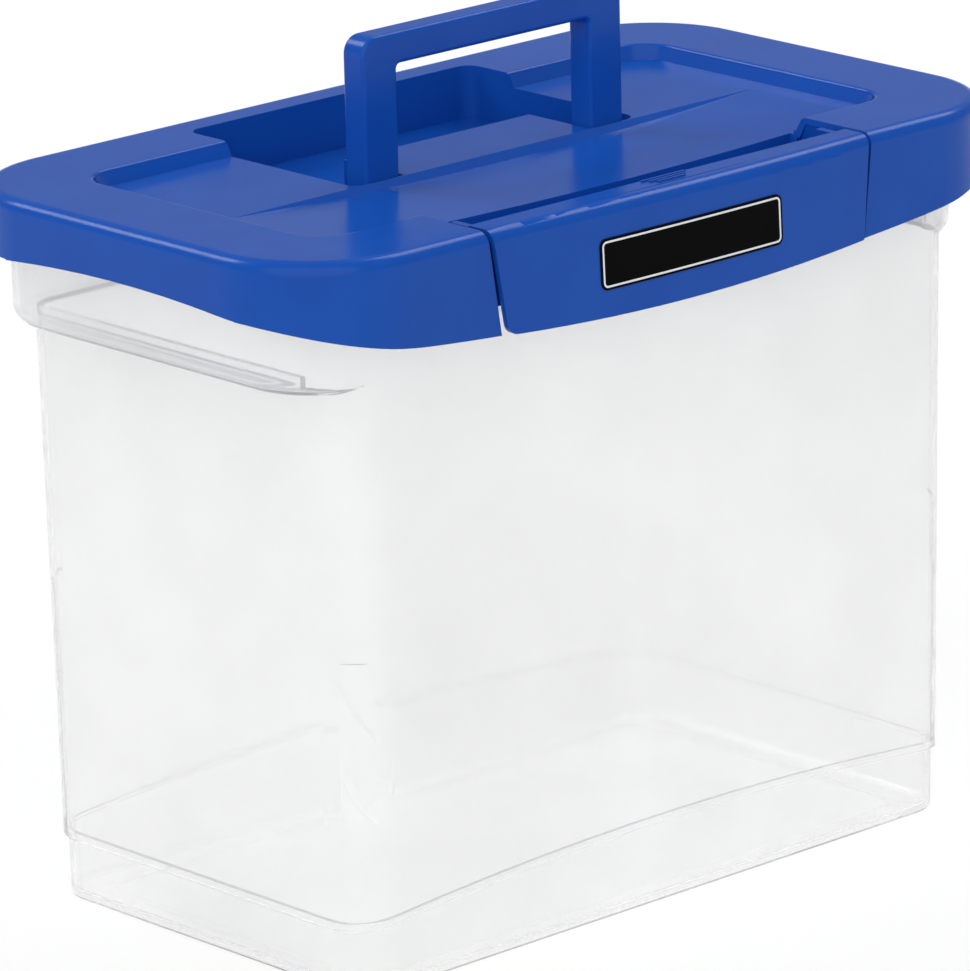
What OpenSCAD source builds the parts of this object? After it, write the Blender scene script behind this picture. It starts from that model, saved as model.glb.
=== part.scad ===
// Portable file box: a clear tub that letter-size folders hang in, with a hinged lid,
// a carry handle that folds back into the lid, a front latch and a bare label plate.
// Millimetres. X runs along the box, -Y is the front, Z is up and the tub stands on Z = 0.

/* [Overall] */
// Length over the lid's end skirts
lid_len = 368; // [350:1:400]
// Depth from the middle of the latch to the back of the hinge barrels
depth = 218; // [210:1:240]
// Height from the floor to the lid's flat rim
rim_h = 281; // [230:1:340]

/* [Tub] */
// Length of the tub's body at its top
body_len = 315; // [300:1:325]
// Depth of the tub's body at its top
body_dep = 185.4; // [175:0.1:190]
// Corner radius of the body at its top
body_r = 21; // [18:0.5:28]
// How far the body's walls lean in on each side from top to bottom
body_draft = 3.7; // [0:0.1:6]
// Wall of the tub
tub_t = 2.2; // [1.6:0.1:3]
// Floor of the tub
floor_t = 2.6; // [2:0.1:4]
// Drop from the lid's rim to the tub's own rim
rim_drop = 9; // [8.5:0.1:9.5]

/* [Tub collar] */
// Drop from the lid's rim to the underside of the collar that widens the tub's ends
collar_drop = 53; // [46:1:70]
// How far the collar's ends stand in from the outside of the lid's skirt
collar_in = 11.7; // [9:0.1:14]
// Corner radius of the collar
collar_r = 36; // [30:1:40]
// How far the collar's back stands out from the body's back
collar_back = 4.3; // [2:0.1:5]
// Round under the collar's outer edge
collar_round = 6; // [2:0.5:9]
// Width of the flange round the tub's rim, beyond the collar
flange_w = 6.5; // [5:0.1:7]
// How far the flange stands out behind the collar, clear of the opening lid's rear skirt
flange_rear = 1; // [0.6:0.1:1.1]
// Thickness of that flange
flange_t = 2.4; // [1.8:0.1:3]
// Depth of the lip turned down at the flange's edge
flange_lip = 4.5; // [3:0.1:6]

/* [Tub foot and rails] */
// Height of the foot at the body's corners
foot_h = 24.5; // [15:0.5:40]
// How much higher the foot's step stands at mid length
foot_arch = 8; // [2:0.5:12]
// How far the foot stands in from the body's face
foot_in = 1.8; // [1:0.1:3]
// Round along the bottom edge
foot_round = 2.5; // [1.5:0.5:6]
// Width of the flat ring that the tub stands on
foot_ring = 14; // [8:1:30]
// How far the floor inside that ring is raised
foot_relief = 0.8; // [0.4:0.1:1.2]
// Thickness of each rail that the folders hang on
rail_t = 2.4; // [1.8:0.1:3.5]
// Height of the rails above the collar's ledge
rail_h = 4; // [3:0.5:12]
// Height of the thickened strip inside each upright corner
pad_h = 127; // [60:1:190]
// How much that strip thickens the corner
pad_t = 1.2; // [0.6:0.1:1.6]

/* [Lid] */
// Corner radius of the lid's outline
lid_r = 48; // [42:1:60]
// Plate and skirt thickness of the lid
lid_t = 2.4; // [1.8:0.1:3]
// Round along the lid's upper edge
edge_r = 5; // [3:0.5:7]
// How far the skirt leans out from its top to its bottom
skirt_lean = 0.6; // [0:0.1:1.5]
// Depth of the skirt at the middle of the front
skirt_front = 42.6; // [38:0.1:48]
// Depth of the skirt at the middle of the ends
skirt_end = 20.2; // [17:0.1:24]
// Radius of the long sweep along the front skirt's lower edge
sweep_r = 1250; // [900:10:3000]
// Radius of the tighter sweep that lifts that edge round the corners
sweep_corner_r = 250; // [200:10:400]
// Distance from the middle at which the tighter sweep takes over
sweep_x = 125; // [100:1:135]
// Rise of the shallow arch along the end skirts' lower edge
end_arch = 3; // [1:0.1:3.5]

/* [Lid recess] */
// Length of the recess in the lid's top
recess_len = 289; // [270:1:300]
// Distance from the lid's middle to the front edge of the recess
recess_front = 67.3; // [60:0.1:72]
// Distance from the lid's middle to the back edge of the recess
recess_back = 66.9; // [60:0.1:75]
// Corner radius of the recess
recess_r = 15; // [8:0.5:25]
// Depth of the recess
recess_d = 5.5; // [4:0.1:7]
// How far the wall of the recess slopes in over its depth
recess_slope = 3; // [1:0.1:5]
// Extra dip of the front shelf at mid length
dish_d = 3; // [1:0.1:4]
// Distance from the lid's middle forward to the ridge behind the front shelf
ridge_y = 5; // [4:0.1:12]
// Distance from the lid's middle forward to the front shelf's edge
shelf_y = 61.5; // [55:0.1:66]

/* [Handle well] */
// Width of the handle well
well_w = 144; // [138:0.5:160]
// Distance from the lid's middle to the back of the well
well_back = 89.5; // [84:0.5:92]
// Depth of the well below the rim
well_d = 21; // [19:0.5:26]
// Corner radius of the well
well_r = 6; // [3:0.5:10]
// Width of the platform that stands between the handle's legs
platform_w = 94.4; // [80:0.2:95]
// Distance from the lid's middle back to the platform's rear edge
platform_back = 29; // [20:0.5:40]

/* [Handle] */
// Width over the handle's legs
handle_w = 131; // [120:0.5:136]
// Width of each leg
leg_w = 17; // [14:0.5:22]
// Thickness of the handle from front to back
handle_t = 11.5; // [9:0.5:12]
// Height of the raised handle above the lid's rim
handle_up = 48.5; // [40:0.5:60]
// Depth of the grip bar
grip_h = 12; // [10:0.5:16]
// Outer corner radius of the handle
handle_r = 7; // [4:0.5:10]
// Round along the handle's edges
handle_edge = 1.6; // [0.8:0.1:2.5]
// Depth of the handle's pivot below the rim
pivot_drop = 12.5; // [12.2:0.1:14]
// Radius of the handle's pivot stubs
pivot_r = 3; // [2:0.1:4]
// Clearance between the handle's legs and the ridge in front of them
leg_gap = 0.7; // [0.4:0.1:1.5]

/* [Latch] */
// Length of the latch at its top edge
latch_w = 191; // [150:1:210]
// Height of the latch from the rim to its lower edge at mid length
latch_h = 42.4; // [38:0.1:46]
// How much shorter the latch is at its lower edge, on each side
latch_taper = 5.7; // [0:0.1:9]
// Gap between the latch and the lid on each side
latch_gap = 2; // [0.6:0.1:3]
// Thickness of the latch's plate
latch_t = 2.2; // [1.8:0.1:3]
// How far the middle of the latch bows forward of its ends
latch_bow = 2.7; // [0.5:0.1:5]
// How far the latch's plate leans forward from top to bottom
latch_lean = 1.6; // [0:0.1:3]
// Round of the latch's lower corners
latch_corner = 5; // [2:0.5:8]
// Depth of the latch's top from its front face to its back edge
latch_top = 13; // [10:0.5:15]
// Distance of the latch's pivot behind its front face
latch_pivot_back = 22; // [21.5:0.1:24]
// Depth of the latch's pivot below the rim
latch_pivot_drop = 7; // [6.5:0.1:8]
// Radius of the latch's pivot stubs
latch_pivot_r = 2.5; // [1.5:0.1:3]
// Length of the catch moulded on the tub's front
catch_w = 120; // [60:1:170]

/* [Label plate] */
// Width of the bare label plate
label_w = 92; // [60:1:120]
// Height of the label plate
label_h = 19; // [12:0.5:24]
// Corner radius of the label plate
label_r = 3; // [1:0.5:6]
// Thickness of the label plate
label_t = 1.2; // [0.8:0.1:1.6]
// Distance from the rim down to the middle of the label plate
label_drop = 22; // [18:0.5:24]

/* [Hinge] */
// Distance of each hinge from the middle of the box
hinge_x = 95; // [85:1:125]
// Length of each hinge barrel on the lid
barrel_len = 22; // [12:1:40]
// Outer radius of the barrels
barrel_r = 4.5; // [4:0.1:5]
// Radius of the tub's hinge pins
hinge_pin_r = 2.2; // [1.5:0.1:2.8]
// Drop from the rim to the hinge's axis
hinge_drop = 16.3; // [16:0.1:17]
// Thickness of the ears that hold each hinge pin
ear_t = 3.5; // [2.5:0.1:5]

/* [Clearances] */
// Radial clearance of a stub or pin in its bore
run_fit = 0.05; // [0.02:0.01:0.09]
// Clearance between pieces that rest on or pass each other
seat_gap = 0.3; // [0.2:0.05:0.5]
// Clearance beside the hinge ears and barrels
side_gap = 0.5; // [0.3:0.1:1]

/* [Hidden] */
$fn = 96;
FINE = 1440;
over = 1;

// Lid's outline, in the box's frame
hinge_y = depth/2 - barrel_r;
lid_back = hinge_y + 1;
lid_front = depth/2 - latch_bow - latch_lean;
lid_cx = lid_len/2 - lid_r;
lid_cy0 = lid_r - lid_front;
lid_cy1 = lid_back - lid_r;

// Tub's rim, flange, collar and body, heights above the floor
tub_top = rim_h - rim_drop;
collar_x = lid_len/2 - collar_in;
collar_z = rim_h - collar_drop;
collar_front = body_dep/2 - 0.5;
ledge_z = collar_z + tub_t;
body_y = body_dep/2;
flange_x = collar_x + flange_w;
flange_back = body_y + collar_back + flange_rear;
flange_front = body_y + flange_w/2 + seat_gap;
flange_r = collar_r + flange_w;
draft_slope = body_draft/tub_top;
arch_r = (pow(body_len/2, 2) + pow(foot_arch, 2))/(2*foot_arch);
rail_x = body_len/2 - tub_t + rail_t/2 + 2;

// Hat section of the lid that passes over the tub's front rim behind the latch
hat_wall = 2;
hat_top = -rim_drop + seat_gap + hat_wall;
hat_front = flange_front + seat_gap + 0.5 + hat_wall;
hat_back = body_y - tub_t - 3;
pocket_z = -latch_pivot_drop - latch_pivot_r - 3;
hat_low = -30;

// Latch
latch_y = lid_front;
latch_x = latch_w/2;
notch_x = latch_x + latch_gap;
bow_r = (pow(latch_x, 2) + pow(latch_bow, 2))/(2*latch_bow);
bow_y = bow_r - latch_y - latch_bow;
latch_py = latch_pivot_back - latch_y;
latch_pz = -latch_pivot_drop;
latch_boss_r = latch_pivot_r + 2;
catch_z = -36.5;
catch_y = hat_front - 0.8;
cheek_t = 3.4;

// Handle
leg_x = handle_w/2;
handle_y0 = leg_gap - ridge_y + 0.6;
pivot_y = handle_y0 + handle_t/2;
pivot_z = -pivot_drop;
boss_t = 3.6;

// Outline of a rectangle with round corners
module round_rect(w, h, r) {
    square([w - 2*r, h], center = true);
    square([w, h - 2*r], center = true);
    for (sx = [-1, 1], sy = [-1, 1])
        translate([sx*(w/2 - r), sy*(h/2 - r)])
            circle(r);
}

// Carries a profile round a core rectangle. The profile's X is the distance out from the
// rectangle and its Y is the height, so the corners come out round.
module around(x0, x1, y0, y1) {
    for (c = [[x1, y1, 0], [x0, y1, 90], [x0, y0, 180], [x1, y0, 270]])
        translate([c[0], c[1], 0])
            rotate([0, 0, c[2]])
                rotate_extrude(angle = 90)
                    children();
    translate([x1, y1, 0]) rotate([90, 0, 0]) linear_extrude(y1 - y0) children();
    translate([x0, y0, 0]) rotate([90, 0, 180]) linear_extrude(y1 - y0) children();
    translate([x0, y1, 0]) rotate([90, 0, 90]) linear_extrude(x1 - x0) children();
    translate([x1, y0, 0]) rotate([90, 0, 270]) linear_extrude(x1 - x0) children();
}

// Box between two heights that fills the core rectangle
module core(x0, x1, y0, y1, z0, z1) {
    translate([x0, y0, z0])
        cube([x1 - x0, y1 - y0, z1 - z0]);
}

// Solid prism with round upright corners, given by its outer faces
module round_block(x, y0, y1, r, z0, z1) {
    translate([0, (y0 + y1)/2, z0])
        linear_extrude(z1 - z0)
            round_rect(2*x, y1 - y0, r);
}

// Prism seen from the front, drawn in X and Z and run from y0 to y1
module front_prism(y0, y1) {
    translate([0, y1, 0])
        rotate([90, 0, 0])
            linear_extrude(y1 - y0)
                children();
}

// Prism seen from the end, drawn in Y and Z and centred on X
module end_prism(len) {
    rotate([90, 0, 90])
        translate([0, 0, -len/2])
            linear_extrude(len)
                children();
}

module pin_x(len, r) {
    rotate([0, 90, 0])
        cylinder(h = len, r = r, center = true);
}

// What the round takes off a square corner at the origin, whose part lies right and below
module edge_cut() {
    difference() {
        translate([-over, -edge_r])
            square(edge_r + over);
        translate([edge_r, -edge_r])
            circle(edge_r);
    }
}

// ---------------------------------------------------------------- tub

// Half section of the body: walls that lean in towards a rounded bottom edge
module body_section(inset, z0, round_r) {
    low = body_r - body_draft - inset + draft_slope*z0;
    high = body_r - inset;
    difference() {
        polygon([[0, z0], [low, z0], [high, tub_top], [0, tub_top]]);
        translate([low - round_r, z0])
            difference() {
                translate([0, -over])
                    square([round_r + over, round_r + over]);
                translate([0, round_r])
                    circle(round_r);
            }
    }
}

module body_block(inset, z0, round_r) {
    x = body_len/2 - body_r;
    y = body_y - body_r;
    around(-x, x, -y, y)
        body_section(inset, z0, round_r);
    core(-x, x, -y, y, z0, tub_top);
}

// Everything below the arched step of the foot
module below_step(lift) {
    front_prism(-depth, depth)
        intersection() {
            translate([-lid_len, -lid_len])
                square([2*lid_len, lid_len + foot_h + foot_arch + lift]);
            translate([0, foot_h + foot_arch + lift - arch_r])
                circle(arch_r, $fn = FINE);
        }
}

module collar_section(inset, z0, round_r) {
    low = collar_r - inset - draft_slope*(tub_top - z0);
    difference() {
        polygon([[0, z0], [low, z0], [collar_r - inset, tub_top], [0, tub_top]]);
        translate([low - round_r, z0])
            difference() {
                translate([0, -over])
                    square([round_r + over, round_r + over]);
                translate([0, round_r])
                    circle(round_r);
            }
    }
}

module collar_block(inset, z0, round_r) {
    x = collar_x - collar_r;
    y0 = collar_r - collar_front;
    y1 = body_y + collar_back - collar_r;
    around(-x, x, y0, y1)
        collar_section(inset, z0, round_r);
    core(-x, x, y0, y1, z0, tub_top);
}

// Flange round the rim with its edge turned down
module tub_flange() {
    difference() {
        round_block(flange_x, -flange_front, flange_back, flange_r, tub_top - flange_lip, tub_top);
        round_block(flange_x - flange_t/2, flange_t/2 - flange_front, flange_back - flange_t/2,
                    flange_r - flange_t/2, tub_top - flange_lip - over, tub_top - flange_t);
    }
}

// Ears and pin of one hinge, on the back of the collar
module tub_hinge() {
    span = barrel_len/2 + side_gap;
    wall_y = body_y + collar_back - tub_t/2;
    for (s = [-1, 1])
        translate([s*(span + ear_t/2), 0, 0])
            end_prism(ear_t) {
                translate([hinge_y, rim_h - hinge_drop])
                    circle(barrel_r - 0.5);
                polygon([[wall_y, rim_h - hinge_drop + 4], [hinge_y, rim_h - hinge_drop + barrel_r - 0.5],
                         [hinge_y + 2, rim_h - hinge_drop - 3], [wall_y, rim_h - hinge_drop - 16]]);
            }
    translate([0, hinge_y, rim_h - hinge_drop])
        pin_x(2*span + 2*ear_t, hinge_pin_r);
}

// Rail on the ledge at one end
module hanging_rail() {
    len = body_dep - 2*body_r;
    translate([rail_x - rail_t/2, -len/2, ledge_z - over])
        cube([rail_t, len, rail_h + over]);
}

// Flat strips that thicken the four upright corners inside, leaning with the walls
module corner_strips() {
    x = body_len/2 - body_r;
    y = body_y - body_r;
    out = body_r - tub_t - pad_t;
    for (sx = [-1, 1], sy = [-1, 1])
        translate([sx*x, sy*y, 0])
            rotate([0, 0, sx > 0 ? sy*45 : 180 - sy*45])
                front_prism(-body_r, body_r)
                    polygon([[out - draft_slope*tub_top, 0], [2*body_r, 0], [2*body_r, pad_h],
                             [out - draft_slope*(tub_top - pad_h), pad_h]]);
}

module tub_cavity() {
    difference() {
        body_block(tub_t, floor_t, foot_round);
        below_step(tub_t);
        corner_strips();
    }
    body_block(tub_t + foot_in, floor_t, foot_round);
    x = body_len/2 - body_r;
    y = body_y - body_r;
    around(-x, x, -y, y)
        translate([0, tub_top - over])
            square([body_r - tub_t, 2*over]);
    core(-x, x, -y, y, tub_top - over, tub_top + over);
}

module tub() {
    color("whitesmoke", 0.45) {
        difference() {
            union() {
                difference() {
                    body_block(0, 0, foot_round);
                    below_step(0);
                }
                body_block(foot_in, 0, foot_round);
                collar_block(0, collar_z, collar_round);
                tub_flange();
                for (s = [-1, 1])
                    translate([s*hinge_x, 0, 0])
                        tub_hinge();
                // Catch that the latch's hook closes under
                translate([-catch_w/2, -catch_y, rim_h + catch_z])
                    cube([catch_w, catch_y - body_y + tub_t, 3]);
            }
            tub_cavity();
            collar_block(tub_t, ledge_z, 2);
            round_block(collar_x - tub_t, tub_t - collar_front, body_y + collar_back - tub_t,
                        collar_r - tub_t, tub_top - over, tub_top + over);
            // Raised middle of the floor, so that the tub stands on a ring
            round_block(body_len/2 - body_draft - foot_in - foot_ring,
                        foot_ring + foot_in + body_draft - body_y,
                        body_y - body_draft - foot_in - foot_ring, 8, -over, foot_relief);
        }
        for (s = [-1, 1])
            scale([s, 1, 1])
                hanging_rail();
    }
}

// ---------------------------------------------------------------- lid
// The lid's modules are drawn with Z = 0 on its flat rim.

// Half section of the skirt and plate, from a core rectangle's edge outwards
module lid_section() {
    low = -skirt_front - 2;
    out = lid_r - skirt_lean;
    difference() {
        polygon([[0, 0], [out, 0], [out, -edge_r], [lid_r, low], [lid_r - lid_t, low],
                 [out - lid_t, -edge_r], [out - edge_r, -lid_t], [0, -lid_t]]);
        translate([out, 0])
            mirror([1, 0])
                edge_cut();
    }
}

module lid_shell() {
    around(-lid_cx, lid_cx, lid_cy0, lid_cy1)
        lid_section();
    core(-lid_cx, lid_cx, lid_cy0, lid_cy1, -lid_t, 0);
}

// What lies below the skirt's swept lower edge, seen from the front
module sweep_cut() {
    big_z = sweep_r - skirt_front;
    t = asin(sweep_x/sweep_r);
    small_x = sweep_x - sweep_corner_r*sin(t);
    small_z = big_z - (sweep_r - sweep_corner_r)*cos(t);
    difference() {
        translate([-lid_len, -2*skirt_front])
            square([2*lid_len, 2*skirt_front - 12]);
        intersection() {
            translate([0, big_z])
                circle(sweep_r, $fn = FINE);
            translate([-sweep_x, -2*skirt_front])
                square([2*sweep_x, 2*skirt_front]);
        }
        for (s = [-1, 1])
            intersection() {
                translate([s*small_x, small_z])
                    circle(sweep_corner_r, $fn = FINE/2);
                translate([s > 0 ? sweep_x : -sweep_x - lid_len, -2*skirt_front])
                    square([lid_len, 2*skirt_front]);
            }
    }
}

// Shallow arch along the end skirts and the straight, shallower skirt along the back
module end_cut() {
    half = lid_back - lid_r + 6;
    arch = (half*half + end_arch*end_arch)/(2*end_arch);
    end_prism(lid_len + 4*over) {
        intersection() {
            translate([0, -skirt_end - arch])
                circle(arch, $fn = FINE);
            translate([-half, -3*skirt_end])
                square([2*half, 3*skirt_end]);
        }
        translate([half - 1, -3*skirt_end + 1])
            square([lid_back, 2*skirt_end - end_arch - 0.6]);
    }
}

// Recess in the top, grown on every side by grow and closed off at a height
module recess_block(grow, top) {
    r = recess_r + grow;
    d = recess_d + grow;
    x = recess_len/2 - recess_r;
    y0 = recess_r - recess_front;
    y1 = recess_back - recess_r;
    rim = 1.6;
    around(-x, x, y0, y1) {
        polygon([[0, top], [r - recess_slope*max(-top, 0)/d, top], [r, min(top, 0)],
                 [r - recess_slope, -d], [0, -d]]);
        if (grow == 0)
            translate([r - 0.5, -rim])
                difference() {
                    square([rim + 0.5, rim + over]);
                    translate([rim + 0.5, 0])
                        circle(rim);
                }
    }
    core(-x, x, y0, y1, -d, top);
}

// Dip of the front shelf: a very shallow trough with a sloped step behind it
module shelf_dip() {
    x = recess_len/2 - recess_slope - 9;
    dish = (x*x + dish_d*dish_d)/(2*dish_d);
    front = -recess_front + recess_slope + 1;
    intersection() {
        front_prism(-recess_front, over)
            translate([0, dish - recess_d - dish_d])
                circle(dish, $fn = 2*FINE);
        end_prism(2*x + 6)
            polygon([[front, 0], [1 - ridge_y, 0], [1 - ridge_y, 1 - recess_d],
                     [-ridge_y - dish_d - 1, -recess_d - dish_d - 1], [front, -recess_d - dish_d - 1]]);
    }
}

// Thickening under the front shelf
module shelf_pan() {
    x = recess_len/2 - 6;
    translate([-x, -recess_front + 2, -recess_d - dish_d - lid_t])
        cube([2*x, recess_front - ridge_y + 1, dish_d + lid_t - 0.9]);
}

// Well for the handle, open through the back rim, round the platform
module well_block(grow, top) {
    difference() {
        round_block(well_w/2 + grow, -ridge_y + 0.6 - grow, well_back + grow, well_r + grow,
                    -well_d - grow, top);
        translate([-platform_w/2 + grow, -ridge_y - over - grow, -well_d - grow - over])
            cube([platform_w - 2*grow, platform_back + ridge_y + over, well_d - recess_d + over]);
    }
}

// Room for the latch: a notch through the rim, the skirt and the front of the shelf
module notch() {
    lean = latch_taper/latch_h;
    low = skirt_front + 5;
    front_prism(-depth, -shelf_y)
        polygon([[-notch_x - lean, over], [notch_x + lean, over],
                 [notch_x - lean*low, -low], [lean*low - notch_x, -low]]);
}

// Section of the pocket behind the latch and of the hat over the tub's front rim
module hat_section() {
    polygon([[-shelf_y + lid_t, -recess_d], [-shelf_y + lid_t, pocket_z - hat_wall],
             [-hat_back - hat_wall, pocket_z - hat_wall], [-hat_back - hat_wall, hat_top - hat_wall],
             [-hat_front + hat_wall, hat_top - hat_wall], [-hat_front + hat_wall, hat_low],
             [-hat_front, hat_low], [-hat_front, hat_top], [-hat_back, hat_top],
             [-hat_back, pocket_z], [-shelf_y, pocket_z], [-shelf_y, -recess_d]]);
}

// Cheek at one end of the notch that carries the latch's stub and passes over the tub's rim
module cheek() {
    translate([notch_x + cheek_t/2, 0, 0])
        end_prism(cheek_t)
            polygon([[lid_t - shelf_y, -lid_t/2], [lid_t - shelf_y, pocket_z - hat_wall],
                     [-hat_back - hat_wall, pocket_z - hat_wall], [-hat_back - hat_wall, hat_top - hat_wall],
                     [edge_r - lid_front, hat_top - hat_wall], [edge_r - lid_front, -lid_t/2]]);
}

// Barrel of one hinge with the web that hangs it from the skirt
module barrel() {
    translate([0, hinge_y, -hinge_drop])
        pin_x(barrel_len, barrel_r);
    translate([-barrel_len/2, lid_back - lid_t - 0.4, -hinge_drop])
        cube([barrel_len, lid_t, hinge_drop - edge_r]);
}

// What one hinge takes out of the lid: bore, snap-in mouth and room for the ears
module barrel_cut() {
    mouth = 1.7*hinge_pin_r;
    translate([0, hinge_y, -hinge_drop]) {
        pin_x(barrel_len + 2*over, hinge_pin_r + run_fit);
        translate([-barrel_len/2 - over, -mouth/2, -barrel_r - 4])
            cube([barrel_len + 2*over, mouth, barrel_r + 4]);
    }
    for (s = [-1, 1])
        translate([s > 0 ? barrel_len/2 : -barrel_len/2 - ear_t - 2*side_gap,
                   lid_back - lid_t - 3, -hinge_drop - 4*barrel_r])
            cube([ear_t + 2*side_gap, 3*lid_t + 3, 5*barrel_r + side_gap]);
}

// Boss beside the well for one of the handle's stubs
module pivot_boss() {
    translate([well_w/2 + boss_t/2, pivot_y, pivot_z])
        pin_x(boss_t, pivot_r + 3.4);
    translate([well_w/2, pivot_y - pivot_r - 3.4, pivot_z])
        cube([boss_t, 2*pivot_r + 6.8, pivot_drop - recess_d - lid_t/2]);
}

// Rib under the rim that the lid rests on the tub with
module seat_rib() {
    rib = 2;
    out = 2.2;
    difference() {
        round_block(flange_x - out, out - flange_front, flange_back - out, flange_r - out,
                    -rim_drop + seat_gap, -lid_t/2);
        round_block(flange_x - out - rib, out + rib - flange_front, flange_back - out - rib,
                    flange_r - out - rib, -rim_drop - over, over);
    }
}

module lid() {
    color("royalblue")
        translate([0, 0, rim_h])
            difference() {
                union() {
                    difference() {
                        union() {
                            difference() {
                                lid_shell();
                                front_prism(-depth, depth)
                                    sweep_cut();
                                end_cut();
                            }
                            recess_block(lid_t, -lid_t/2);
                            shelf_pan();
                            well_block(lid_t, -lid_t/2);
                            seat_rib();
                        }
                        notch();
                    }
                    end_prism(2*notch_x + cheek_t)
                        hat_section();
                    for (s = [-1, 1])
                        scale([s, 1, 1]) {
                            cheek();
                            pivot_boss();
                        }
                    for (s = [-1, 1])
                        translate([s*hinge_x, 0, 0])
                            barrel();
                }
                recess_block(0, over);
                shelf_dip();
                well_block(0, over);
                for (s = [-1, 1])
                    translate([s*hinge_x, 0, 0])
                        barrel_cut();
                for (s = [-1, 1]) {
                    translate([s*(notch_x + cheek_t/2), latch_py, latch_pz])
                        pin_x(cheek_t + 2*over, latch_pivot_r + run_fit);
                    translate([s*(well_w/2 + boss_t/2), pivot_y, pivot_z])
                        pin_x(boss_t + 2*over, pivot_r + run_fit);
                }
            }
}

// ---------------------------------------------------------------- handle

// Profile across the handle's rim, round along both edges
module handle_section(r) {
    t = handle_t/2;
    e = handle_edge;
    difference() {
        translate([0, -t])
            square([r, 2*t]);
        for (s = [-1, 1])
            scale([1, s])
                difference() {
                    translate([r - e, t - e])
                        square(e + over);
                    translate([r - e, t - e])
                        circle(e);
                }
    }
}

// Opening under the grip, flared along both edges
module opening_section(r) {
    t = handle_t/2;
    e = handle_edge;
    difference() {
        translate([0, -t - over])
            square([r + e, 2*t + 2*over]);
        translate([r, e - t])
            square([e + over, 2*t - 2*e]);
        for (s = [-1, 1])
            translate([r + e, s*(t - e)])
                circle(e);
    }
}

// The handle's outline raised from its pivot, drawn flat with Y up and Z across
module handle_plate() {
    low = pivot_z - 3*handle_t;
    in_r = 2;
    in_x = leg_x - leg_w;
    t = handle_t/2;
    difference() {
        union() {
            around(handle_r - leg_x, leg_x - handle_r, low, handle_up - handle_r)
                handle_section(handle_r);
            translate([handle_r - leg_x, low, -t])
                cube([2*(leg_x - handle_r), handle_up - handle_r - low, 2*t]);
        }
        around(in_r - in_x, in_x - in_r, low - 2*handle_t, handle_up - grip_h - in_r)
            opening_section(in_r);
        translate([in_r - in_x, low - 2*handle_t, -t - over])
            cube([2*(in_x - in_r), handle_up - grip_h - in_r - low + 2*handle_t, 2*t + 2*over]);
    }
}

module carry_handle() {
    reach = well_w/2 - leg_x;
    thick_x = well_w/2 - well_r/2;
    color("royalblue")
        translate([0, 0, rim_h]) {
            intersection() {
                translate([0, pivot_y, 0])
                    rotate([90, 0, 0])
                        handle_plate();
                end_prism(handle_w + 2*over) {
                    translate([pivot_y, pivot_z])
                        circle(handle_t/2 + 0.01);
                    translate([pivot_y - handle_t, pivot_z])
                        square([2*handle_t, handle_up + pivot_drop + over]);
                }
            }
            for (s = [-1, 1])
                scale([s, 1, 1]) {
                    translate([(leg_x - over + thick_x)/2, pivot_y, pivot_z])
                        pin_x(thick_x - leg_x + over, pivot_r + 1.8);
                    translate([leg_x + (reach + boss_t)/2 - over, pivot_y, pivot_z])
                        pin_x(reach + boss_t + 2*over, pivot_r);
                }
        }
}

// ---------------------------------------------------------------- latch

// Section of the latch's plate and round top edge. X runs forward from the face at its ends.
module latch_section() {
    low = -latch_h - 3;
    lean = latch_lean/latch_h;
    back = edge_r + 2;
    difference() {
        polygon([[0, 0], [0, -edge_r], [-lean*low, low], [-lean*low - latch_t, low],
                 [-latch_t, -edge_r], [-edge_r, -latch_t], [-back, -latch_t], [-back, 0]]);
        mirror([1, 0])
            edge_cut();
    }
}

// Outline of the latch seen from the front, with its swept lower edge
module latch_outline() {
    lean = latch_taper/latch_h;
    intersection() {
        polygon([[-latch_x - lean, 1], [latch_x + lean, 1],
                 [latch_x - lean*60, -60], [lean*60 - latch_x, -60]]);
        translate([0, sweep_r - latch_h])
            circle(sweep_r, $fn = FINE);
    }
}

// What the round takes off the latch's lower corner on one side
module latch_corner_cut(side) {
    lean = latch_taper/latch_h;
    n = sqrt(1 + lean*lean);
    c = latch_corner;
    b = sweep_r - latch_h;
    a = latch_x - c*n;
    k = a*lean - b;
    z = (-k - sqrt(k*k - n*n*(a*a + b*b - pow(sweep_r - c, 2))))/(n*n);
    x = a + lean*z;
    difference() {
        polygon([[side*(x + 0.3*c), z - 0.3*c], [side*(x + 2*c), z + 0.3*c], [side*(x + 2*c), z - 2*c],
                 [side*(x - 0.1*c), z - 2*c]]);
        translate([side*x, z])
            circle(c);
    }
}

// Revolves a section about the far centre of the latch's bow
module bowed() {
    half = asin((latch_x + 6)/bow_r);
    translate([0, bow_y, 0])
        rotate([0, 0, -90 - half])
            rotate_extrude(angle = 2*half, $fn = 2*FINE)
                translate([bow_r, 0])
                    children();
}

// Section of the straight web behind the round top edge, with a lip along its back
module web_section() {
    front = edge_r - latch_y;
    back = latch_top - latch_y;
    top = -0.03;
    low = -latch_t - 0.03;
    polygon([[front, top], [back, top], [back, low - 1.2], [back - latch_t, low - 1.2],
             [back - latch_t, low], [front, low]]);
}

// Arm at one end from the web back to the pivot stub
module latch_arm() {
    arm = 3;
    outer = latch_x - 1.5;
    translate([outer - arm/2, 0, 0])
        end_prism(arm) {
            translate([latch_py, latch_pz])
                circle(latch_boss_r);
            polygon([[4 - latch_y, -latch_t/2], [latch_py + 2, -latch_t/2],
                     [latch_py + latch_boss_r - 0.5, latch_pz], [latch_py - latch_boss_r + 0.5, latch_pz],
                     [0.8 - hat_back, hat_top + seat_gap], [4 - latch_y, hat_top + seat_gap]]);
        }
    translate([(outer - over + notch_x + cheek_t)/2, latch_py, latch_pz])
        pin_x(notch_x + cheek_t - outer + over, latch_pivot_r);
}

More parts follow.
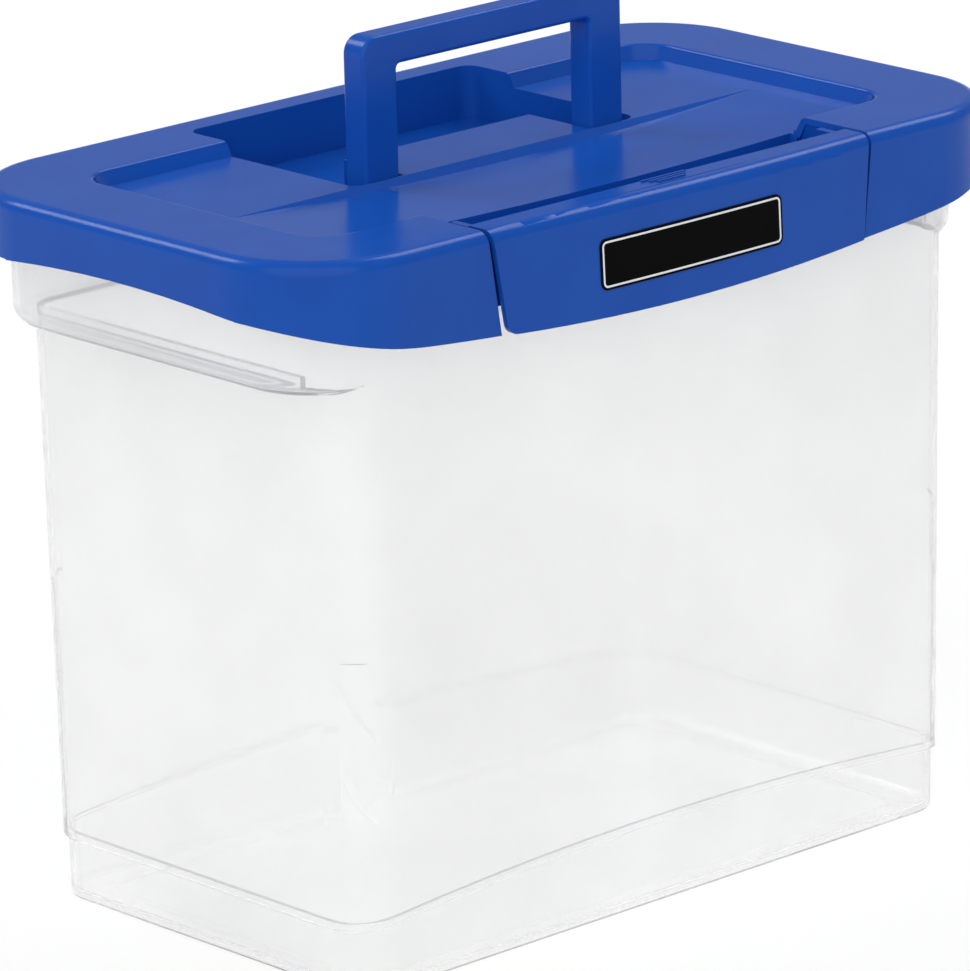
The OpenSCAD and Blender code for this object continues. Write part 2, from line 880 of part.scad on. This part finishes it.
module latch() {
    hook_h = 3.2;
    hook_z = catch_z - seat_gap - hook_h;
    hook_front = latch_y + latch_bow + 0.9*latch_lean - latch_t + 0.5;
    color("royalblue")
        translate([0, 0, rim_h])
            difference() {
                union() {
                    intersection() {
                        union() {
                            bowed()
                                latch_section();
                            end_prism(2*latch_x + 6)
                                web_section();
                        }
                        front_prism(-depth, 0)
                            latch_outline();
                    }
                    for (s = [-1, 1])
                        scale([s, 1, 1])
                            latch_arm();
                    // Hook that closes under the tub's catch
                    translate([-catch_w/2, -hook_front, hook_z])
                        cube([catch_w, hook_front - catch_y - seat_gap, hook_h]);
                    // Grip ribs on the top, shorter towards the front
                    for (i = [0, 1, 2])
                        translate([-11 + 2*i, latch_top - latch_y - 1.6 - 2.2*i, -0.2])
                            cube([22 - 4*i, 0.9, 0.7]);
                }
                front_prism(-depth, -catch_y) {
                    latch_corner_cut(1);
                    latch_corner_cut(-1);
                }
                label_seat(label_t/2);
            }
}

// ---------------------------------------------------------------- label plate

module label_section(deep) {
    lean = latch_lean/latch_h;
    z0 = -label_drop - label_h;
    z1 = -label_drop + label_h;
    out = label_t/2;
    polygon([[out - lean*(z0 + edge_r), z0], [out - lean*(z1 + edge_r), z1],
             [-deep - lean*(z1 + edge_r), z1], [-deep - lean*(z0 + edge_r), z0]]);
}

module label_seat(deep) {
    intersection() {
        bowed()
            label_section(deep);
        front_prism(-depth, 0)
            translate([0, -label_drop])
                round_rect(label_w, label_h, label_r);
    }
}

module label_plate() {
    color("#181818")
        translate([0, 0, rim_h])
            label_seat(label_t/2);
}

tub();
lid();
carry_handle();
latch();
label_plate();
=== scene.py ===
"""Looks of a portable file box: natural tub, blue lid, handle and latch, black label plate.

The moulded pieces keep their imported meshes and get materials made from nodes. The thin pale
frame of the label plate is built here. Metres, with the row's own frame.
"""

import logging
import math
from dataclasses import dataclass
from enum import Enum
from typing import Any, Optional, Sequence

import bmesh
import bpy
from mathutils import Matrix, Vector


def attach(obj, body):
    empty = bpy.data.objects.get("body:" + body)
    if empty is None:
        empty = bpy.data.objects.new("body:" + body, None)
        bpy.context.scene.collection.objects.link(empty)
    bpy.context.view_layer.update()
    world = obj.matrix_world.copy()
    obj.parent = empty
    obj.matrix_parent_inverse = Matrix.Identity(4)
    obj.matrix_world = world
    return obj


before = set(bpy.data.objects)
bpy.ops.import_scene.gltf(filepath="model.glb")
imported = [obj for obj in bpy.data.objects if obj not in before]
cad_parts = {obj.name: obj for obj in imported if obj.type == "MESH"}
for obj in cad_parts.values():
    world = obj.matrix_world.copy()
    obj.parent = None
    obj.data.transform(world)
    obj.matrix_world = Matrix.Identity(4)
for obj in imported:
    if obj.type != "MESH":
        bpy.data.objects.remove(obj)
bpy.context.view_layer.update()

log = logging.getLogger("file_box")
MM = 0.001
# Sockets of a colour mix: its factor, its two colours and its result
MIX_FACTOR, MIX_A, MIX_B, MIX_COLOUR = 0, 6, 7, 2
# Where nearly all values of a noise lie
NOISE_LOW, NOISE_HIGH = 0.3, 0.7


# ------------------------------------------------------------------ helpers

def linear(hex_code: str) -> tuple[float, ...]:
    """Turns an sRGB hex colour into the linear colour that shaders take.

    Args:
        hex_code: Six hex digits with a leading hash sign.

    Returns:
        Linear red, green and blue, and full opacity.
    """
    channels = [int(hex_code[i:i + 2], 16) / 255 for i in (1, 3, 5)]
    low = [c / 12.92 if c <= 0.04045 else ((c + 0.055) / 1.055) ** 2.4 for c in channels]
    return (*low, 1.0)


def add_object(name: str, data: Any) -> bpy.types.Object:
    """Adds an object to the scene.

    Args:
        name: Its name.
        data: Its mesh, light or camera.

    Returns:
        The new object.
    """
    thing = bpy.data.objects.new(name, data)
    bpy.context.scene.collection.objects.link(thing)
    return thing


class Tree:
    """A material's or world's node tree, built one linked node at a time."""

    def __init__(self, owner: Any) -> None:
        """Empties the node tree of a material or world.

        Args:
            owner: The material or world.
        """
        owner.use_nodes = True
        self.nodes = owner.node_tree.nodes
        self.links = owner.node_tree.links
        self.nodes.clear()

    def add(self, kind: str, inputs: Optional[dict[Any, Any]] = None,
            settings: Optional[dict[str, Any]] = None) -> Any:
        """Adds one node.

        Args:
            kind: The node's type name without the leading ShaderNode.
            inputs: Value, or socket to link, for each input by its name or number.
            settings: Properties of the node itself.

        Returns:
            The new node.
        """
        node = self.nodes.new("ShaderNode" + kind)
        for name, value in (settings or {}).items():
            setattr(node, name, value)
        for name, value in (inputs or {}).items():
            if isinstance(value, bpy.types.NodeSocket):
                self.links.new(value, node.inputs[name])
            else:
                node.inputs[name].default_value = value
        return node


class Detail(Enum):
    """How finely a noise is built up: the number of finer layers in it."""

    SMOOTH = 1.0
    EVEN = 3.0
    RICH = 6.0


@dataclass(frozen=True)
class MouldGrain:
    """Spark-eroded mould texture, copied by the plastic as fine grain over slow waves."""

    grain_mm: float
    grain_depth_mm: float
    wave_mm: float
    wave_depth_mm: float

    def noise(self, tree: Tree, size_mm: float, detail: Detail) -> Any:
        """Adds a noise that is fixed to the piece.

        Args:
            tree: The tree to add it to.
            size_mm: Size of its features.
            detail: How finely it is built up.

        Returns:
            The noise node.
        """
        place = tree.add("TexCoord").outputs["Object"]
        return tree.add("TexNoise", {
            "Vector": place, "Scale": 1 / (size_mm * MM), "Detail": detail.value})

    def normal(self, tree: Tree) -> Any:
        """Adds the bumps of the slow waves and the grain.

        Args:
            tree: The tree to add them to.

        Returns:
            The socket with the bumped normal.
        """
        wave = self.noise(tree, self.wave_mm, Detail.SMOOTH)
        grain = self.noise(tree, self.grain_mm, Detail.EVEN)
        below = tree.add("Bump", {
            "Height": wave.outputs["Fac"], "Distance": self.wave_depth_mm * MM, "Strength": 1.0})
        above = tree.add("Bump", {
            "Height": grain.outputs["Fac"], "Distance": self.grain_depth_mm * MM,
            "Strength": 1.0, "Normal": below.outputs["Normal"]})
        return above.outputs["Normal"]

    def spread(self, tree: Tree, size_mm: float, low: float = 0.0, high: float = 1.0) -> Any:
        """Adds a slow variation between two values.

        Args:
            tree: The tree to add it to.
            size_mm: Size of its patches.
            low: Least value.
            high: Greatest value.

        Returns:
            The socket with the value.
        """
        patches = self.noise(tree, size_mm, Detail.RICH)
        return tree.add("MapRange", {
            "Value": patches.outputs["Fac"], "From Min": NOISE_LOW, "From Max": NOISE_HIGH,
            "To Min": low, "To Max": high}).outputs["Result"]

    def tone(self, tree: Tree, size_mm: float, colour: str, shade: str) -> Any:
        """Adds a colour that wanders slowly between two tones.

        Args:
            tree: The tree to add it to.
            size_mm: Size of its patches.
            colour: First tone, in hex.
            shade: Second tone, in hex.

        Returns:
            The socket with the colour.
        """
        return tree.add("Mix", {
            MIX_FACTOR: self.spread(tree, size_mm), MIX_A: linear(colour),
            MIX_B: linear(shade)}, {"data_type": "RGBA"}).outputs[MIX_COLOUR]


# ------------------------------------------------------------------ finishes

@dataclass(frozen=True)
class NaturalPolypropylene:
    """Unpigmented polypropylene, injection moulded: see-through with a faint milky haze."""

    # Milky white, because the plastic's crystals scatter a little of all colours
    colour: str = "#F9F9F9"
    shade: str = "#F4F4F4"
    # The walls pass most light. What they don't pass, they scatter.
    clear: float = 0.84
    # Polypropylene's own index. Its haze blurs what is seen through the wall.
    ior: float = 1.49
    rough_low: float = 0.05
    rough_high: float = 0.09
    patch_mm: float = 60.0
    # Lamps reach the floor through the thin walls, a little dimmed
    lamp_tint: str = "#FAFAFA"
    # Real grain is about 0.05 mm. It is drawn coarser, because it would not show.
    grain: MouldGrain = MouldGrain(
        grain_mm=0.6, grain_depth_mm=0.001, wave_mm=45.0, wave_depth_mm=0.08)

    def build(self) -> bpy.types.Material:
        """Builds the material.

        Returns:
            The finished material.
        """
        material = bpy.data.materials.new("natural_polypropylene")
        tree = Tree(material)
        colour = self.grain.tone(tree, self.patch_mm, self.colour, self.shade)
        plastic = tree.add("BsdfPrincipled", {
            "Base Color": colour, "IOR": self.ior,
            "Transmission Weight": self.clear,
            "Roughness": self.grain.spread(tree, self.patch_mm, self.rough_low, self.rough_high),
            "Normal": self.grain.normal(tree)})
        passing = tree.add("BsdfTransparent", {"Color": linear(self.lamp_tint)})
        path = tree.add("LightPath")
        surface = tree.add("MixShader", {
            0: path.outputs["Is Shadow Ray"], 1: plastic.outputs[0], 2: passing.outputs[0]})
        tree.add("OutputMaterial", {"Surface": surface.outputs[0]})
        return material


@dataclass(frozen=True)
class BluePolypropylene:
    """Blue polypropylene, injection moulded in a finely grained mould: half gloss."""

    # Pigment is even. The two tones are what differs in flow and wear between patches.
    colour: str = "#124DA9"
    shade: str = "#1148A3"
    patch_mm: float = 35.0
    ior: float = 1.49
    # Grain spreads highlights, so edges glow broadly and flats show only a pale sheen
    rough_low: float = 0.18
    rough_high: float = 0.24
    specular: float = 0.16
    # Real grain is about 0.1 mm. It is drawn coarser, because it would not show.
    grain: MouldGrain = MouldGrain(
        grain_mm=0.5, grain_depth_mm=0.010, wave_mm=30.0, wave_depth_mm=0.04)

    def build(self) -> bpy.types.Material:
        """Builds the material.

        Returns:
            The finished material.
        """
        material = bpy.data.materials.new("blue_polypropylene")
        tree = Tree(material)
        colour = self.grain.tone(tree, self.patch_mm, self.colour, self.shade)
        plastic = tree.add("BsdfPrincipled", {
            "Base Color": colour, "IOR": self.ior,
            "Specular IOR Level": self.specular,
            "Roughness": self.grain.spread(tree, self.patch_mm, self.rough_low, self.rough_high),
            "Normal": self.grain.normal(tree)})
        tree.add("OutputMaterial", {"Surface": plastic.outputs[0]})
        return material


@dataclass(frozen=True)
class LacqueredFoil:
    """Printed foil under a thin lacquer: deep, even colour with a soft gloss."""

    name: str
    colour: str
    shade: str
    roughness: float = 0.3
    # The lacquer hardly mirrors, so that the colour stays deep
    specular: float = 0.02
    patch_mm: float = 8.0
    grain: MouldGrain = MouldGrain(
        grain_mm=0.4, grain_depth_mm=0.003, wave_mm=12.0, wave_depth_mm=0.03)

    def build(self) -> bpy.types.Material:
        """Builds the material.

        Returns:
            The finished material.
        """
        material = bpy.data.materials.new(self.name)
        tree = Tree(material)
        colour = self.grain.tone(tree, self.patch_mm, self.colour, self.shade)
        foil = tree.add("BsdfPrincipled", {
            "Base Color": colour, "Roughness": self.roughness,
            "Specular IOR Level": self.specular, "Normal": self.grain.normal(tree)})
        tree.add("OutputMaterial", {"Surface": foil.outputs[0]})
        return material


# ------------------------------------------------------------------ pieces

def dress(node: str, material: bpy.types.Material) -> None:
    """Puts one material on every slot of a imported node.

    Args:
        node: The node's name.
        material: The material it gets.
    """
    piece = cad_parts[node]
    if not piece.material_slots:
        piece.data.materials.append(material)
    for slot in piece.material_slots:
        slot.material = material
    log.info("%s: %s", node, material.name)


@dataclass
class Mouldings:
    """The moulded pieces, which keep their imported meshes."""

    natural: NaturalPolypropylene = NaturalPolypropylene()
    blue: BluePolypropylene = BluePolypropylene()
    blue_nodes: Sequence[str] = ("lid", "carry_handle", "latch")

    def build(self) -> None:
        """Dresses the tub and the blue pieces."""
        dress("tub", self.natural.build())
        blue = self.blue.build()
        for node in self.blue_nodes:
            dress(node, blue)


@dataclass
class LabelPlate:
    """Bare black plate on the latch, with a thin pale frame printed along its edge."""

    # The plate, as it is packed
    width: float = 92.0
    height: float = 19.0
    corner: float = 3.0
    # Height of the plate's middle above the floor, and the latch's rim
    middle_z: float = 259.0
    rim_z: float = 281.0
    # The latch's bow about an upright axis and its lean
    bow_radius: float = 1690.9
    bow_y: float = 1582.9
    lean: float = 1.6 / 42.4
    lean_from: float = 5.0
    # The frame: its distance from the plate's edge, its width and its thickness
    inset: float = 0.9
    line: float = 0.75
    proud: float = 0.1
    # Width and height of the slope along its edges, and how far it is sunk into the plate
    slope: float = 0.1
    slope_height: float = 0.03
    sunk: float = 0.05
    corner_steps: int = 10
    side_steps: int = 24
    black: LacqueredFoil = LacqueredFoil("black_lacquer", colour="#0A090A", shade="#070707")
    pale: LacqueredFoil = LacqueredFoil(
        "pale_frame_print", colour="#E9EBEE", shade="#DDE0E4", specular=0.3)

    def outline(self, inset: float) -> list[tuple[float, float]]:
        """Works out a rounded rectangle with the same count of points for every inset.

        Args:
            inset: Distance from the plate's edge, in millimetres.

        Returns:
            Points along it, as distance along the plate and height above its middle.
        """
        r = self.corner - inset
        x, z = self.width / 2 - self.corner, self.height / 2 - self.corner
        corners = [(x, z, 0), (-x, z, 90), (-x, -z, 180), (x, -z, 270)]
        points: list[tuple[float, float]] = []
        for i, (cx, cz, start) in enumerate(corners):
            for k in range(self.corner_steps + 1):
                a = math.radians(start + 90 * k / self.corner_steps)
                points.append((cx + r * math.cos(a), cz + r * math.sin(a)))
            nx, nz, turn = corners[(i + 1) % 4]
            a = math.radians(turn)
            end = (nx + r * math.cos(a), nz + r * math.sin(a))
            here = points[-1]
            for k in range(1, self.side_steps):
                t = k / self.side_steps
                points.append((here[0] + t * (end[0] - here[0]), here[1] + t * (end[1] - here[1])))
        return points

    def on_plate(self, x: float, z: float, lift: float) -> Vector:
        """Finds a point above the plate's bowed and leaning face.

        Args:
            x: Distance along the plate from its middle, in millimetres.
            z: Height above the plate's middle, in millimetres.
            lift: Height above the face, in millimetres.

        Returns:
            The point, in metres.
        """
        height = self.middle_z + z
        radius = self.bow_radius - self.lean * (height - self.rim_z + self.lean_from) + lift
        a = math.asin(x / radius)
        return Vector((x, self.bow_y - radius * math.cos(a), height)) * MM

    def frame_mesh(self) -> bpy.types.Mesh:
        """Builds the closed ring of the pale frame.

        Returns:
            Its mesh.
        """
        near, far = self.inset, self.inset + self.line
        side = self.proud - self.slope_height
        rings = [(near, -self.sunk), (near, side), (near + self.slope, self.proud),
                 (far - self.slope, self.proud), (far, side), (far, -self.sunk)]
        mesh = bmesh.new()
        rows = [[mesh.verts.new(self.on_plate(x, z, lift)) for x, z in self.outline(inset)]
                for inset, lift in rings]
        count = len(rows[0])
        for i, row in enumerate(rows):
            below = rows[(i + 1) % len(rows)]
            for k in range(count):
                n = (k + 1) % count
                mesh.faces.new((row[k], below[k], below[n], row[n]))
        bmesh.ops.recalc_face_normals(mesh, faces=mesh.faces)
        for face in mesh.faces:
            face.smooth = True
        data = bpy.data.meshes.new("label_frame")
        mesh.to_mesh(data)
        mesh.free()
        return data

    def build(self) -> None:
        """Dresses the plate and adds its frame."""
        dress("label_plate", self.black.build())
        ring = add_object("label_frame", self.frame_mesh())
        ring.data.materials.append(self.pale.build())
        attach(ring, "latch")
        log.info("label_frame: %d faces", len(ring.data.polygons))


# ------------------------------------------------------------------ studio

@dataclass(frozen=True)
class Lamp:
    """One wide, far lamp.

    Its spread is how wide the object sees it, its azimuth goes from -Y towards +X, and its
    height is its angle above the floor, all in degrees.
    """

    name: str
    power: float
    spread: float
    azimuth: float
    height: float

    def build(self) -> None:
        """Hangs the lamp."""
        data = bpy.data.lights.new(self.name, "SUN")
        data.energy = self.power
        data.angle = math.radians(self.spread)
        lamp = add_object(self.name, data)
        a, e = math.radians(self.azimuth), math.radians(self.height)
        towards = Vector((math.sin(a) * math.cos(e), -math.cos(a) * math.cos(e), math.sin(e)))
        lamp.rotation_mode = "QUATERNION"
        lamp.rotation_quaternion = (-towards).to_track_quat("-Z", "Y")


@dataclass
class Studio:
    """White floor, even daylight from all round and three soft lamps."""

    floor_half: float = 14.0
    floor_colour: str = "#838383"
    floor_shade: str = "#858585"
    # Size of its patches of tone, as a share of its width, and the finer layers in them
    floor_patch: float = 0.3
    floor_detail: float = 2.0
    # What the floor adds where it is seen, so that it is white where no shadow falls
    floor_glow: float = 0.74
    # What it adds as light, so that it throws back as much as white paper
    floor_bounce: float = 0.42
    # Light from all round. Seen or mirrored, it is white low down and dimmer towards the
    # ceiling. Seen through the tub, it is white all over.
    daylight: float = 0.57
    ceiling: float = 0.28
    # Sines of the heights between which it dims
    dim_from: float = 0.02
    dim_to: float = 0.16
    # A wide lamp fills from the front. Two smaller ones draw the bright lines along round edges.
    lamps: Sequence[Lamp] = (
        Lamp("front_left", power=1.6, spread=80.0, azimuth=-50.0, height=30.0),
        Lamp("behind", power=0.9, spread=22.0, azimuth=-158.0, height=42.0),
        Lamp("right", power=0.7, spread=26.0, azimuth=100.0, height=49.0))

    def seen(self, tree: Tree, seen_value: Any, other: float) -> Any:
        """Gives one value where a surface is seen, mirrored or seen through, and another for light.

        Args:
            tree: The tree to add it to.
            seen_value: Value or socket for camera, glossy and transmission rays.
            other: Value for all other rays.

        Returns:
            The socket with the value.
        """
        path = tree.add("LightPath")
        any_of = path.outputs["Is Camera Ray"]
        for name in ("Is Glossy Ray", "Is Transmission Ray"):
            any_of = tree.add(
                "Math", {0: any_of, 1: path.outputs[name]}, {"operation": "MAXIMUM"}).outputs[0]
        return tree.add("MapRange", {
            "Value": any_of, "To Min": other, "To Max": seen_value}).outputs["Result"]

    def floor(self) -> None:
        """Lays the floor."""
        h = self.floor_half
        data = bpy.data.meshes.new("floor")
        data.from_pydata([(-h, -h, 0), (h, -h, 0), (h, h, 0), (-h, h, 0)], [], [(0, 1, 2, 3)])
        floor = add_object("floor", data)
        material = bpy.data.materials.new("white_paper")
        tree = Tree(material)
        fibres = tree.add("TexNoise", {
            "Scale": 1 / self.floor_patch, "Detail": self.floor_detail})
        tone = tree.add("Mix", {
            MIX_FACTOR: fibres.outputs["Fac"], MIX_A: linear(self.floor_colour),
            MIX_B: linear(self.floor_shade)}, {"data_type": "RGBA"})
        paper = tree.add("BsdfDiffuse", {"Color": tone.outputs[MIX_COLOUR]})
        glow = tree.add("Emission", {
            "Strength": self.seen(tree, self.floor_glow, self.floor_bounce)})
        both = tree.add("AddShader", {0: paper.outputs[0], 1: glow.outputs[0]})
        tree.add("OutputMaterial", {"Surface": both.outputs[0]})
        data.materials.append(material)

    def build(self) -> None:
        """Sets up the floor, the world and the lamps."""
        self.floor()
        world = bpy.data.worlds.new("studio")
        bpy.context.scene.world = world
        tree = Tree(world)
        height = tree.add("SeparateXYZ", {0: tree.add("TexCoord").outputs["Generated"]})
        shade = tree.add("MapRange", {
            "Value": height.outputs["Z"], "From Min": self.dim_from, "From Max": self.dim_to,
            "To Min": 1.0, "To Max": self.ceiling})
        through = tree.add("LightPath").outputs["Is Transmission Ray"]
        shade = tree.add("Math", {0: shade.outputs[0], 1: through}, {"operation": "MAXIMUM"})
        sky = tree.add("Background", {
            "Color": (1, 1, 1, 1), "Strength": self.seen(tree, shade.outputs[0], self.daylight)})
        tree.add("OutputWorld", {"Surface": sky.outputs[0]})
        for lamp in self.lamps:
            lamp.build()
        bpy.context.scene.view_settings.view_transform = "Standard"


@dataclass
class StillCamera:
    """Long lens that looks down on the box from its front left."""

    place: Sequence[float] = (-1.9742, -2.1518, 1.0088)
    yaw: float = 42.44
    pitch: float = 16.48
    roll: float = 1.37
    # Focal length in pixels, with the picture's longer side and the sensor
    focal_px: float = 8065.28
    long_side_px: float = 971.0
    sensor_mm: float = 36.0
    # Nearest and farthest distance that it sees
    near: float = 0.05
    far: float = 60.0

    def build(self) -> None:
        """Places the camera and makes it the scene's own."""
        yaw, pitch, roll = (math.radians(a) for a in (self.yaw, self.pitch, self.roll))
        ahead = Vector((math.sin(yaw) * math.cos(pitch), math.cos(yaw) * math.cos(pitch),
                        -math.sin(pitch)))
        right = Vector((math.cos(yaw), -math.sin(yaw), 0))
        down = ahead.cross(right)
        turned_right = right * math.cos(roll) + down * math.sin(roll)
        turned_down = down * math.cos(roll) - right * math.sin(roll)
        data = bpy.data.cameras.new("camera")
        data.sensor_width = self.sensor_mm
        data.lens = self.focal_px * self.sensor_mm / self.long_side_px
        data.clip_start, data.clip_end = self.near, self.far
        camera = add_object("camera", data)
        axes = Matrix((turned_right, -turned_down, -ahead)).transposed()
        camera.matrix_world = Matrix.Translation(self.place) @ axes.to_4x4()
        bpy.context.scene.camera = camera


def main() -> None:
    """Builds the camera, the studio and the looks of every piece in order."""
    StillCamera().build()
    Studio().build()
    Mouldings().build()
    LabelPlate().build()


if __name__ == "__main__":
    logging.basicConfig(level=logging.INFO)
    main()
